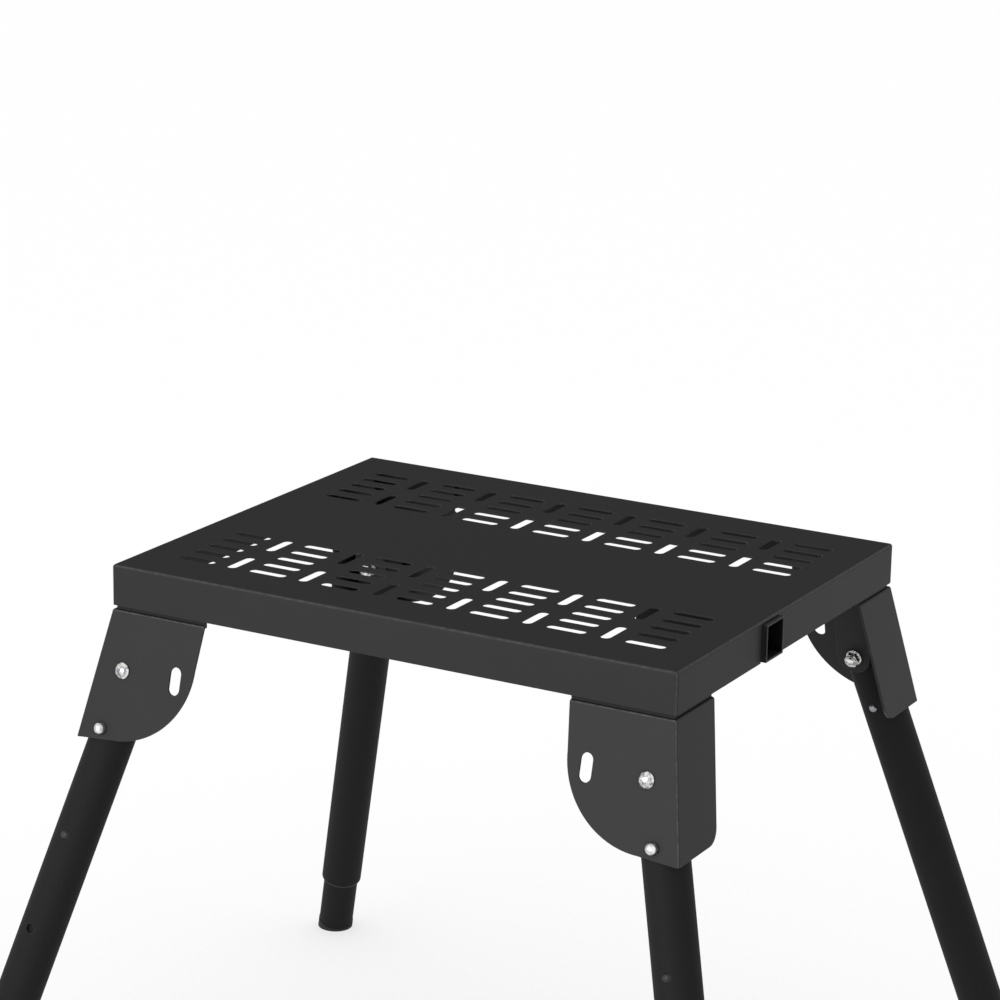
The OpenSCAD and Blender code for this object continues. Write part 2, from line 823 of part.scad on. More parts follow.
table_top();
support_arm_receiver();
front_left_bracket();
front_right_bracket();
rear_left_bracket();
rear_right_bracket();
pivot_bolts();
pivot_washers();
pivot_lock_nuts();
front_left_leg_tube();
front_right_leg_tube();
rear_left_leg_tube();
rear_right_leg_tube();
front_left_sleeve();
front_right_sleeve();
rear_left_sleeve();
rear_right_sleeve();
front_left_lock_spring();
front_right_lock_spring();
rear_left_lock_spring();
rear_right_lock_spring();
front_left_fold_lock();
front_right_fold_lock();
rear_left_fold_lock();
rear_right_fold_lock();
front_left_guide_bush();
front_right_guide_bush();
rear_left_guide_bush();
rear_right_guide_bush();
front_left_extension();
front_right_extension();
rear_left_extension();
rear_right_extension();
front_left_glide();
front_right_glide();
rear_left_glide();
rear_right_glide();
front_left_height_lock();
front_right_height_lock();
rear_left_height_lock();
rear_right_height_lock();
front_left_foot();
front_right_foot();
rear_left_foot();
rear_right_foot();
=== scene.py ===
# %% [markdown]
# # A folding stand for a bench power tool
#
# The stand is a pressed steel table on four splayed legs. Its shapes come from a CAD model that is
# loaded as a fixed frame: the sheets, plates, tubes and bolts are already there, in metres, in place.
# What is left for this script is what a drawing doesn't hold: the black powder coat and its grain,
# bright zinc, moulded nylon, the ripples of a weld, the thread on a bolt's end, and the light.

# %% Load the frame
import json

import bmesh
import bpy
from mathutils import Matrix, Vector


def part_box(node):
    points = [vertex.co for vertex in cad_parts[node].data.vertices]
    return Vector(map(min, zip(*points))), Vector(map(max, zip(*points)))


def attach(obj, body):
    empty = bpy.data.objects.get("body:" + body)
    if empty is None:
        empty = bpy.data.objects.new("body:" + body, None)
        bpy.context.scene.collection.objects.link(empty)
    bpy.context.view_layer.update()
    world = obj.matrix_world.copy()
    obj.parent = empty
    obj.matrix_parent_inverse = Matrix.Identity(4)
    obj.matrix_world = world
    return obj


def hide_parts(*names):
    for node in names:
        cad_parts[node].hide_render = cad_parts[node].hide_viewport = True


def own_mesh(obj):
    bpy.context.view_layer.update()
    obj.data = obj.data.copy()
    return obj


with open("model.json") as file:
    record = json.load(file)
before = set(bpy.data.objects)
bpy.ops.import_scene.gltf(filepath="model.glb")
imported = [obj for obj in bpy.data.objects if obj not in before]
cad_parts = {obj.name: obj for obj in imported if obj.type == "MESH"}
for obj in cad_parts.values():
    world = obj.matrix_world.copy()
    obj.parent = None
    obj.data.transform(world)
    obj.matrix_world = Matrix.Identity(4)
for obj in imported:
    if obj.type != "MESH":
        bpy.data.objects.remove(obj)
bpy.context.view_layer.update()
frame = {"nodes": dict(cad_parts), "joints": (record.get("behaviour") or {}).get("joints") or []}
nodes = frame["nodes"]

# %% [markdown]
# ## Camera
#
# The camera stands to the right of the front corner and looks down a little. Its place was solved from
# the table's edges, the ends of the slots and the bolt heads, so three directions describe it best: its
# right, its up and the way it looks. A long lens (a 36 mm sensor and 125 mm) keeps the verticals calm.

# %% Camera
SENSOR = 36.0
FOCAL_SHARE = 3.46
CLIP_END = 100.0
EYE = Vector((1.5538, -2.7938, 1.5530))
RIGHT = Vector((0.86999, 0.49278, 0.01695))
UP = Vector((-0.14772, 0.22768, 0.96247))

camera = bpy.data.objects.new("camera", bpy.data.cameras.new("camera"))
camera.data.sensor_width = SENSOR
camera.data.lens = SENSOR * FOCAL_SHARE
camera.data.clip_end = CLIP_END
back = RIGHT.cross(UP)
camera.matrix_world = Matrix((
    (RIGHT.x, UP.x, back.x, EYE.x),
    (RIGHT.y, UP.y, back.y, EYE.y),
    (RIGHT.z, UP.z, back.z, EYE.z),
    (0.0, 0.0, 0.0, 1.0),
))
bpy.context.collection.objects.link(camera)
bpy.context.scene.camera = camera
bpy.context.scene.view_settings.view_transform = "Standard"
print("camera at", tuple(EYE), "lens", round(camera.data.lens, 1), "mm")

# %% [markdown]
# ## Two helpers for materials
#
# Designers give colours as sRGB hex values, but shaders add and multiply light, so they need linear
# values. One function turns the first into the second. A second one adds a node to a tree with its
# settings and its links in one line, so that a material reads like a recipe.

# %% Colour and node helpers
def colour(code):
    """The linear RGBA of an sRGB hex value such as "#3c3c3d"."""
    parts = [int(code[i:i + 2], 16) / 255 for i in (1, 3, 5)]
    linear = [p / 12.92 if p <= 0.04045 else ((p + 0.055) / 1.055) ** 2.4 for p in parts]
    return (*linear, 1.0)


def add(tree, kind, settings=None, links=None, **options):
    """Adds a node. settings gives its inputs' values, links what feeds them, options the rest."""
    node = tree.nodes.new(kind)
    for name, value in options.items():
        setattr(node, name, value)
    for socket, value in (settings or {}).items():
        node.inputs[socket].default_value = value
    for socket, source in (links or {}).items():
        tree.links.new(source, node.inputs[socket])
    return node


print("a dark grey in linear light:", [round(v, 4) for v in colour("#3c3c3d")])

# %% [markdown]
# ## How big is a grain?
#
# A noise texture repeats its blotches about once per unit divided by its scale. With object coordinates
# in metres, a grain of 1.2 mm needs a scale of 1 / 0.0012. Working that out from millimetres keeps
# each pattern at its real size, whichever piece it lands on.

# %% Scale from millimetres
def per_mm(size):
    """The scale at which a texture's features are about this many millimetres across."""
    return 1000.0 / size


def new_material(name):
    """An empty material with object coordinates, ready for a shader."""
    material = bpy.data.materials.new(name)
    material.use_nodes = True
    material.node_tree.nodes.clear()
    place = add(material.node_tree, "ShaderNodeTexCoord").outputs["Object"]
    return material, material.node_tree, place


def finish_material(tree, shader):
    add(tree, "ShaderNodeOutputMaterial", links={"Surface": shader.outputs[0]})


print("a 1.2 mm grain has scale", round(per_mm(1.2)))

# %% [markdown]
# ## Where an edge is
#
# Paint draws back from an edge and gets rubbed there, so edges of a coated sheet are painted a little
# lighter: partly that wear, partly a painted highlight. The Bevel node gives the normal that the surface
# would have if its edges were rounded.
# Where that differs from the true normal, an edge is near. Comparing the two gives a mask that
# follows every edge, hole and slot, and the rounded normal also catches a thin line of light.

# %% Edge mask
def edge_mask(tree, radius_mm, softness=0.1):
    """0 on flat faces, up to 1 at edges, and the normal with its edges rounded by that radius."""
    round_edge = add(tree, "ShaderNodeBevel", {"Radius": radius_mm / 1000}, samples=8)
    true_normal = add(tree, "ShaderNodeNewGeometry").outputs["Normal"]
    same = add(tree, "ShaderNodeVectorMath", links={0: round_edge.outputs[0], 1: true_normal},
               operation="DOT_PRODUCT").outputs["Value"]
    mask = add(tree, "ShaderNodeMapRange", {"From Min": 1.0, "From Max": 1.0 - softness},
               {"Value": same})
    return mask.outputs[0], round_edge.outputs[0]


print("edges are found within the radius that each finish gives")

# %% [markdown]
# ## Where a bend is
#
# A press brake leaves a rounded bend, too wide for the edge mask. But the flat faces of this stand
# look along X, Y or Z, or nearly so, and only a bend looks in between. There two parts of the normal are
# large at once, so their product finds it. The coat's colour is lightened along this mask: a painted
# highlight on each bend.

# %% Bend mask
SHEET_BENDS = (("X", "Y"), ("Y", "Z"), ("X", "Z"))
PLATE_BENDS = (("X", "Y"), ("Y", "Z"))
BEND_STARTS, BEND_FULL = 0.3, 0.45


def bend_mask(tree, pairs):
    """1 where the surface looks halfway between the two directions of one of the pairs."""
    facing = add(tree, "ShaderNodeNewGeometry").outputs["Normal"]
    part = add(tree, "ShaderNodeSeparateXYZ", links={0: facing}).outputs
    most = None
    for first, second in pairs:
        both = add(tree, "ShaderNodeMath", links={0: part[first], 1: part[second]},
                   operation="MULTIPLY")
        size = add(tree, "ShaderNodeMath", links={0: both.outputs[0]}, operation="ABSOLUTE").outputs[0]
        most = size if most is None else add(tree, "ShaderNodeMath", links={0: most, 1: size},
                                             operation="MAXIMUM").outputs[0]
    return add(tree, "ShaderNodeMapRange", {"From Min": BEND_STARTS, "From Max": BEND_FULL},
               {"Value": most}).outputs[0]


print("bends of the sheet:", SHEET_BENDS)

# %% [markdown]
# ## Powder-coated sheet steel
#
# The table and the brackets are mild steel under a baked polyester powder coat with a fine texture.
# The eye sees three things: an even, dull dark grey; a grain of about a millimetre, from the powder
# that flowed but didn't quite level; and edges and bends a shade lighter, partly rubbed wear and partly
# a painted highlight. A dielectric shader fits, because the light never reaches the metal. Its specular
# level is low, for the grain scatters the reflection.
# The coat has a satin gloss where it is untouched, so a bend draws a soft line of light, and it is dull
# on the faces that point up, because tools and hands scuff them.
#
# In a narrow recess the ambient occlusion node darkens the coat towards near black: painted shade.
# The brackets get a copy of the coat a shade paler.

# %% Powder coat for sheet
CLOUD_MM = 70
PATCH_MM = 6
GRAIN_MM = 0.9
PIT_MM = GRAIN_MM * 2.2
GRAIN_DEPTH = 0.0001
RECESS_SHADE_TONE = "#080808"
SCUFFED_FROM, SCUFFED_FULL = 0.9, 0.99


def powder_coat(name, body, blotch, edge, bends, rough, scuffed_rough, recess_mm):
    """The coat's two greys, its edges and bends lightened by wear and a painted highlight, its roughness,
    and painted shade in its recesses.
    """
    material, tree, place = new_material(name)
    cloud = add(tree, "ShaderNodeTexNoise", {"Scale": per_mm(CLOUD_MM), "Detail": 4.0, "Roughness": 0.6},
                {"Vector": place}).outputs["Fac"]
    base = add(tree, "ShaderNodeMix", {6: colour(body), 7: colour(blotch)}, {0: cloud},
               data_type="RGBA")
    # Edges and bends are painted lighter: partly rubbed wear, partly a painted highlight.
    mask, soft_normal = edge_mask(tree, 1.0, 0.25)
    bend = add(tree, "ShaderNodeMath", links={0: mask, 1: bend_mask(tree, bends)}, operation="MAXIMUM")
    patches = add(tree, "ShaderNodeTexNoise", {"Scale": per_mm(PATCH_MM), "Detail": 5.0},
                  {"Vector": place})
    patchy_wear_and_highlight = add(tree, "ShaderNodeMapRange",
                 {"From Min": 0.35, "From Max": 0.65, "To Min": 0.35, "To Max": 0.9},
                 {"Value": patches.outputs["Fac"]})
    wear_and_painted_highlight = add(tree, "ShaderNodeMath", links={0: bend.outputs[0], 1: patchy_wear_and_highlight.outputs[0]},
               operation="MULTIPLY")
    # Painted shade: the ambient occlusion node darkens recesses towards near black.
    openness = add(tree, "ShaderNodeAmbientOcclusion", {"Distance": recess_mm / 1000},
                   samples=8).outputs["AO"]
    reach = add(tree, "ShaderNodeMapRange", {"From Min": 0.4, "From Max": 0.92}, {"Value": openness})
    tint = add(tree, "ShaderNodeMix", {7: colour(edge)}, {0: wear_and_painted_highlight.outputs[0], 6: base.outputs[2]},
               data_type="RGBA")
    recess_shaded = add(tree, "ShaderNodeMix", {6: colour(RECESS_SHADE_TONE)}, {0: reach.outputs[0], 7: tint.outputs[2]},
               data_type="RGBA")
    grain = add(tree, "ShaderNodeTexNoise", {"Scale": per_mm(GRAIN_MM), "Detail": 2.0, "Roughness": 0.5},
                {"Vector": place}).outputs["Fac"]
    pits = add(tree, "ShaderNodeTexVoronoi", {"Scale": per_mm(PIT_MM)}, {"Vector": place},
               feature="SMOOTH_F1").outputs["Distance"]
    relief = add(tree, "ShaderNodeMath", {2: 0.35}, {0: pits, 1: grain}, operation="MULTIPLY_ADD")
    tree.links.new(grain, relief.inputs[2])
    bump = add(tree, "ShaderNodeBump", {"Strength": 0.55, "Distance": GRAIN_DEPTH},
               {"Height": relief.outputs[0], "Normal": soft_normal})
    facing = add(tree, "ShaderNodeNewGeometry").outputs["Normal"]
    upward = add(tree, "ShaderNodeSeparateXYZ", links={0: facing}).outputs["Z"]
    scuffed = add(tree, "ShaderNodeMapRange",
                  {"From Min": SCUFFED_FROM, "From Max": SCUFFED_FULL,
                   "To Min": rough, "To Max": scuffed_rough}, {"Value": upward})
    gloss = add(tree, "ShaderNodeMath", {1: 0.08, 2: -0.04}, {0: cloud}, operation="MULTIPLY_ADD")
    dull = add(tree, "ShaderNodeMath", links={0: scuffed.outputs[0], 1: gloss.outputs[0]},
               operation="ADD", use_clamp=True)
    shader = add(tree, "ShaderNodeBsdfPrincipled", {"Specular IOR Level": 0.12, "IOR": 1.5},
                 {"Base Color": recess_shaded.outputs[2], "Roughness": dull.outputs[0],
                  "Normal": bump.outputs[0]})
    finish_material(tree, shader)
    return material


coated_steel = powder_coat(
    "powder_coated_sheet_steel", body="#282829", blotch="#2d2d2e", edge="#484849",
    bends=SHEET_BENDS, rough=0.52, scuffed_rough=0.95, recess_mm=60)
coated_plate = powder_coat(
    "powder_coated_bracket_plate", body="#2a2a2b", blotch="#303031", edge="#5a5a5c",
    bends=PLATE_BENDS, rough=0.5, scuffed_rough=0.8, recess_mm=30)
coated_bore = powder_coat(
    "powder_coated_square_tube", body="#242425", blotch="#29292a", edge="#606062",
    bends=PLATE_BENDS, rough=0.5, scuffed_rough=0.8, recess_mm=80)
print("made", coated_steel.name, coated_plate.name, coated_bore.name)

# %% [markdown]
# ## Coated tube
#
# The legs have a darker coat of the same kind, which levels better on a tube: it keeps only a faint
# orange peel, some 4 mm across. Sliding one tube in the other leaves fine scratches along the leg, so
# the noise that stands for them is stretched far along Z.

# %% Smooth coat for tube
PEEL_MM = 4
SCRATCH_MM = 1.2
ALONG_LEG = (1.0, 1.0, 0.02)
TUBE_CLOUD_MM = 90


def tube_coat(name):
    material, tree, place = new_material(name)
    peel = add(tree, "ShaderNodeTexNoise", {"Scale": per_mm(PEEL_MM), "Detail": 1.0}, {"Vector": place})
    stretched = add(tree, "ShaderNodeMapping", {"Scale": ALONG_LEG}, {"Vector": place})
    scratch = add(tree, "ShaderNodeTexNoise",
                  {"Scale": per_mm(SCRATCH_MM), "Detail": 3.0, "Roughness": 0.7},
                  {"Vector": stretched.outputs[0]}).outputs["Fac"]
    cloud = add(tree, "ShaderNodeTexNoise", {"Scale": per_mm(TUBE_CLOUD_MM), "Detail": 3.0},
                {"Vector": place})
    fine = add(tree, "ShaderNodeMapRange", {"From Min": 0.62, "From Max": 0.8}, {"Value": scratch})
    some = add(tree, "ShaderNodeMath", {1: 0.35}, {0: fine.outputs[0]}, operation="MULTIPLY")
    base = add(tree, "ShaderNodeMix", {6: colour("#141415"), 7: colour("#181819")},
               {0: cloud.outputs["Fac"]}, data_type="RGBA")
    tint = add(tree, "ShaderNodeMix", {7: colour("#3a3a3b")}, {0: some.outputs[0], 6: base.outputs[2]},
               data_type="RGBA")
    # The tube's edges are painted lighter: partly wear, partly a painted highlight.
    mask, soft_normal = edge_mask(tree, 0.6)
    rim = add(tree, "ShaderNodeMath", {1: 0.5}, {0: mask}, operation="MULTIPLY")
    edged = add(tree, "ShaderNodeMix", {7: colour("#5a5a5b")}, {0: rim.outputs[0], 6: tint.outputs[2]},
                data_type="RGBA")
    bump = add(tree, "ShaderNodeBump", {"Strength": 0.25, "Distance": 0.0002},
               {"Height": peel.outputs["Fac"], "Normal": soft_normal})
    gloss = add(tree, "ShaderNodeMapRange", {"To Min": 0.66, "To Max": 0.78}, {"Value": scratch})
    shader = add(tree, "ShaderNodeBsdfPrincipled", {"Specular IOR Level": 0.15, "IOR": 1.5},
                 {"Base Color": edged.outputs[2], "Roughness": gloss.outputs[0],
                  "Normal": bump.outputs[0]})
    finish_material(tree, shader)
    return material


coated_tube = tube_coat("powder_coated_steel_tube")
print("made", coated_tube.name)

# %% [markdown]
# ## Bright zinc
#
# Bolts, washers, nuts and lock buttons are steel with a clear-passivated zinc plate. It is a metal, so
# its colour sits in the reflection: a light grey, clouded every few millimetres with a cooler, darker
# one, partly where the passivate is thicker and partly a painted reflection of dark surroundings.
# Cold-headed fasteners keep fine tool marks, here about half a millimetre apart.
# they are paler and softer: their walls pick up light from all round instead of mirroring the plate.

# %% Zinc plate
PASSIVATE_AND_REFLECTION_MM = 3.5
TOOL_MARK_MM = 0.5


def zinc_plate(name, cool_tone, bright_tone, smooth, rough):
    material, tree, place = new_material(name)
    # The darker clouds are partly uneven passivate, partly a painted reflection.
    cloud = add(tree, "ShaderNodeTexNoise", {"Scale": per_mm(PASSIVATE_AND_REFLECTION_MM), "Detail": 3.0},
                {"Vector": place})
    spread = add(tree, "ShaderNodeMapRange", {"From Min": 0.38, "From Max": 0.62},
                 {"Value": cloud.outputs["Fac"]})
    tone = add(tree, "ShaderNodeMix", {6: colour(cool_tone), 7: colour(bright_tone)},
               {0: spread.outputs[0]}, data_type="RGBA")
    marks = add(tree, "ShaderNodeTexNoise", {"Scale": per_mm(TOOL_MARK_MM), "Detail": 2.0},
                {"Vector": place})
    gloss = add(tree, "ShaderNodeMapRange", {"To Min": smooth, "To Max": rough},
                {"Value": marks.outputs["Fac"]})
    round_edge = add(tree, "ShaderNodeBevel", {"Radius": 0.0004}, samples=6)
    bump = add(tree, "ShaderNodeBump", {"Strength": 0.2, "Distance": 0.00005},
               {"Height": marks.outputs["Fac"], "Normal": round_edge.outputs[0]})
    shader = add(tree, "ShaderNodeBsdfPrincipled", {"Metallic": 1.0},
                 {"Base Color": tone.outputs[2], "Roughness": gloss.outputs[0],
                  "Normal": bump.outputs[0]})
    finish_material(tree, shader)
    return material


zinc = zinc_plate("clear_passivated_zinc_plate", "#85898e", "#ebeae6", smooth=0.16, rough=0.3)
satin_zinc = zinc_plate("barrel_polished_zinc_plate", "#b4b6b9", "#ebeae7", smooth=0.36, rough=0.52)
print("made", zinc.name, "and", satin_zinc.name)

# %% [markdown]
# ## Spring steel, nylon and rubber
#
# Three quieter finishes. The lock clips and sleeves are plain spring steel with a film of oil, darker
# than zinc and drawn along their length. Bushes, glides and height buttons are moulded nylon, whose
# spark-eroded mould leaves a dull skin. The feet are rubber: the roughest surface here, with a bloom of
# pale dust that keeps it from looking like paint.

# %% Spring steel
DRAW_LINE_MM = 0.6
ALONG_STRIP = (1.0, 1.0, 0.05)


def spring_steel(name):
    material, tree, place = new_material(name)
    drawn = add(tree, "ShaderNodeMapping", {"Scale": ALONG_STRIP}, {"Vector": place})
    lines = add(tree, "ShaderNodeTexNoise", {"Scale": per_mm(DRAW_LINE_MM), "Detail": 3.0},
                {"Vector": drawn.outputs[0]}).outputs["Fac"]
    tint = add(tree, "ShaderNodeMix", {6: colour("#77797d"), 7: colour("#9b9da1")}, {0: lines},
               data_type="RGBA")
    gloss = add(tree, "ShaderNodeMapRange", {"To Min": 0.28, "To Max": 0.44}, {"Value": lines})
    bump = add(tree, "ShaderNodeBump", {"Strength": 0.2, "Distance": 0.00005}, {"Height": lines})
    shader = add(tree, "ShaderNodeBsdfPrincipled", {"Metallic": 1.0},
                 {"Base Color": tint.outputs[2], "Roughness": gloss.outputs[0],
                  "Normal": bump.outputs[0]})
    finish_material(tree, shader)
    return material


# %% Nylon and rubber
DUST_MM = 14


def dull_black(name, body, dust, dust_amount, rough, grain_mm, depth_mm):
    material, tree, place = new_material(name)
    grain = add(tree, "ShaderNodeTexNoise", {"Scale": per_mm(grain_mm), "Detail": 3.0},
                {"Vector": place}).outputs["Fac"]
    patch = add(tree, "ShaderNodeTexNoise", {"Scale": per_mm(DUST_MM), "Detail": 5.0, "Roughness": 0.65},
                {"Vector": place}).outputs["Fac"]
    film = add(tree, "ShaderNodeMapRange", {"From Min": 0.4, "From Max": 0.75, "To Max": dust_amount},
               {"Value": patch})
    tint = add(tree, "ShaderNodeMix", {6: colour(body), 7: colour(dust)}, {0: film.outputs[0]},
               data_type="RGBA")
    bump = add(tree, "ShaderNodeBump", {"Strength": 0.4, "Distance": depth_mm / 1000},
               {"Height": grain})
    gloss = add(tree, "ShaderNodeMapRange", {"To Min": rough - 0.05, "To Max": rough + 0.07},
                {"Value": patch})
    shader = add(tree, "ShaderNodeBsdfPrincipled", {"Specular IOR Level": 0.4, "IOR": 1.52},
                 {"Base Color": tint.outputs[2], "Roughness": gloss.outputs[0],
                  "Normal": bump.outputs[0]})
    finish_material(tree, shader)
    return material


spring = spring_steel("oiled_spring_steel")
nylon = dull_black("moulded_black_nylon", "#151516", "#2a2a2b", dust_amount=0.4, rough=0.48,
                   grain_mm=0.4, depth_mm=0.03)
rubber = dull_black("moulded_black_rubber", "#131313", "#3a3937", dust_amount=0.5, rough=0.78,
                    grain_mm=0.8, depth_mm=0.08)
print("made", spring.name, nylon.name, rubber.name)

# %% [markdown]
# ## Give each piece its finish
#
# Every node of the frame has a material slot with a plain material in it. The finish is chosen by what
# the piece is: its name ends in the kind of part. Only the slot is changed, never the mesh.

# %% Assign the finishes
FINISH_BY_ENDING = {
    "table_top": coated_steel, "support_arm_receiver": coated_bore, "bracket": coated_plate,
    "leg_tube": coated_tube, "extension": coated_tube,
    "pivot_bolts": zinc, "pivot_washers": zinc, "pivot_lock_nuts": zinc, "fold_lock": satin_zinc,
    "sleeve": spring, "lock_spring": spring,
    "guide_bush": nylon, "glide": nylon, "height_lock": nylon, "foot": rubber,
}

for name, piece in nodes.items():
    ending = max((end for end in FINISH_BY_ENDING if name.endswith(end)), key=len)
    piece.data.materials.clear()
    piece.data.materials.append(FINISH_BY_ENDING[ending])
print("dressed", len(nodes), "nodes in", len(set(FINISH_BY_ENDING.values())), "finishes")

# %% [markdown]
# ## The height clips
#
# Each leg's height is held by a sprung clip inside the tube: a leaf bent double, with the button on one
# arm. The frame moves a clip as one rigid piece, so when its button is pressed its back would come out
# through the tube. A real clip closes up: its back stays against the wall and only the button's arm
# travels. So each clip is copied, its loose triangles are merged, and it rides on the tube that holds it.

# %% Copy the clips
CORNERS = ("front_left", "front_right", "rear_left", "rear_right")
MERGE_WITHIN = 0.00001


def joint_named(name):
    return next(joint for joint in frame["joints"] if joint["name"] == name)


def merged_copy(node, name):
    """A plain copy of a CAD node with its loose triangles joined and its flat faces kept crisp."""
    mesh = nodes[node].data.copy()
    mesh.name = name
    shape = bmesh.new()
    shape.from_mesh(mesh)
    bmesh.ops.remove_doubles(shape, verts=shape.verts, dist=MERGE_WITHIN)
    bmesh.ops.recalc_face_normals(shape, faces=shape.faces)
    shape.to_mesh(mesh)
    shape.free()
    mesh.shade_flat()
    piece = bpy.data.objects.new(name, mesh)
    bpy.context.collection.objects.link(piece)
    return piece


for corner in CORNERS:
    button = joint_named(corner + "_height_button")
    inward = Vector(button["axis"]).normalized()
    clip = merged_copy(corner + "_height_lock", corner + "_height_clip")
    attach(clip, corner + "_extension")
    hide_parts(corner + "_height_lock")
    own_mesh(clip)

# %% [markdown]
# ## Weld beads
#
# The brackets and the receiver tube hang under the sheet by welds. A weld that a torch lays by hand is
# a row of overlapping puddles, each a flat dome set a step behind the last. That is a small shape
# repeated along a path, which Geometry Nodes does well: resample a line at the puddle's pitch, put a
# squashed ball on each point, turn it along the line and vary its size a little with a fixed seed.

# %% A geometry tree with named inputs
def new_tree(name, sizes):
    """A geometry tree with a Geometry input, a float input for each size and a Material input."""
    tree = bpy.data.node_groups.new(name, "GeometryNodeTree")
    face = tree.interface
    face.new_socket("Geometry", in_out="INPUT", socket_type="NodeSocketGeometry")
    for size in sizes:
        face.new_socket(size, in_out="INPUT", socket_type="NodeSocketFloat")
    face.new_socket("Finish", in_out="INPUT", socket_type="NodeSocketMaterial")
    face.new_socket("Geometry", in_out="OUTPUT", socket_type="NodeSocketGeometry")
    return tree, add(tree, "NodeGroupInput").outputs


def close_tree(tree, instances, finish):
    real = add(tree, "GeometryNodeRealizeInstances", links={0: instances})
    dressed = add(tree, "GeometryNodeSetMaterial",
                  links={"Geometry": real.outputs[0], "Material": finish})
    add(tree, "NodeGroupOutput", links={0: dressed.outputs[0]})


def grow(name, seed_mesh, tree, values):
    """Runs a tree on a mesh, and gives the result as a plain mesh object with no modifier."""
    piece = bpy.data.objects.new(name, seed_mesh)
    bpy.context.collection.objects.link(piece)
    modifier = piece.modifiers.new("grow", "NODES")
    modifier.node_group = tree
    for item in tree.interface.items_tree:
        if item.in_out == "INPUT" and item.name in values:
            modifier[item.identifier] = values[item.name]
    graph = bpy.context.evaluated_depsgraph_get()
    mesh = bpy.data.meshes.new_from_object(piece.evaluated_get(graph))
    piece.modifiers.clear()
    piece.data = mesh
    mesh.name = name
    print(name, "has", len(mesh.polygons), "faces")
    return piece


# %% The weld tree
PUDDLE_LENGTH_SHARE = 0.8
SMALLEST_PUDDLE, LARGEST_PUDDLE = 0.85, 1.12
SEED = 7


def weld_tree():
    tree, given = new_tree("weld_bead", ["Pitch", "Width", "Height"])
    path = add(tree, "GeometryNodeMeshToCurve", links={0: given["Geometry"]})
    steps = add(tree, "GeometryNodeResampleCurve",
                links={"Curve": path.outputs[0], "Length": given["Pitch"]}, mode="LENGTH")
    along = add(tree, "GeometryNodeInputTangent").outputs[0]
    turn = add(tree, "FunctionNodeAlignRotationToVector", links={"Vector": along}, axis="X")
    puddle = add(tree, "GeometryNodeMeshIcoSphere", {"Radius": 0.5, "Subdivisions": 2})
    long_side = add(tree, "ShaderNodeMath", {1: PUDDLE_LENGTH_SHARE}, {0: given["Width"]},
                    operation="MULTIPLY")
    size = add(tree, "ShaderNodeCombineXYZ",
               links={0: long_side.outputs[0], 1: given["Width"], 2: given["Height"]})
    wobble = add(tree, "FunctionNodeRandomValue",
                 {2: SMALLEST_PUDDLE, 3: LARGEST_PUDDLE, "Seed": SEED}, data_type="FLOAT")
    scale = add(tree, "ShaderNodeVectorMath", links={0: size.outputs[0], "Scale": wobble.outputs[1]},
                operation="SCALE")
    beads = add(tree, "GeometryNodeInstanceOnPoints",
                links={"Points": steps.outputs[0], "Instance": puddle.outputs[0],
                       "Rotation": turn.outputs[0], "Scale": scale.outputs[0]})
    close_tree(tree, beads.outputs[0], given["Finish"])
    return tree


def path_mesh(name, lines):
    """Edges along each line of points, as the seed that a tree follows."""
    mesh = bpy.data.meshes.new(name)
    points = [p for line in lines for p in line]
    edges, start = [], 0
    for line in lines:
        edges += [(start + i, start + i + 1) for i in range(len(line) - 1)]
        start += len(line)
    mesh.from_pydata(points, edges, [])
    return mesh


# %% [markdown]
# The paths follow the inner edges of the four bracket webs and the two long sides of the receiver's
# spacer strip. They start from the nodes' own boxes, and the sizes named here say how far inside a box
# each seam lies.

# %% Lay the welds
SHEET = 0.0012
WEB_FROM_FLANGE = 0.0472
WEB_CORNER_X = 0.2600
RECEIVER_STRIP = 0.0216
SEAM_INSET = 0.0008
WEB_SEAM_GAP = 0.002
STRIP_INNER_GAP = 0.004
STRIP_OUTER_GAP = 0.026
BEAD = {"Pitch": 0.0022, "Width": 0.0042, "Height": 0.0022}

top_low, top_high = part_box("table_top")
under = top_high[2] - SHEET - SEAM_INSET
seams = []
for side in ("left", "right"):
    sign = 1 if side == "right" else -1
    low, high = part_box("front_" + side + "_bracket")
    inner = low[0] if sign > 0 else high[0]
    stop = sign * WEB_CORNER_X
    for end in (-1, 1):
        y = end * (top_high[1] - WEB_FROM_FLANGE)
        seams.append([(inner + sign * WEB_SEAM_GAP, y, under), (stop, y, under)])
low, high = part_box("support_arm_receiver")
middle = (low[1] + high[1]) / 2
for end in (-1, 1):
    y = middle + end * RECEIVER_STRIP / 2
    seams.append([(low[0] + STRIP_INNER_GAP, y, under), (high[0] - STRIP_OUTER_GAP, y, under)])
welds = grow("weld_beads", path_mesh("weld_paths", seams), weld_tree(), {**BEAD, "Finish": coated_steel})
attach(welds, "frame")

# %% [markdown]
# ## Threads on the bolt ends
#
# A pivot bolt ends a turn or two past its lock nut, with its thread in view. A thread is one ridge that
# winds along a helix, so a spiral curve with a small four-sided profile gives it. The same ridge is
# then put on four points, one for each bolt, turned to that bolt's own direction.

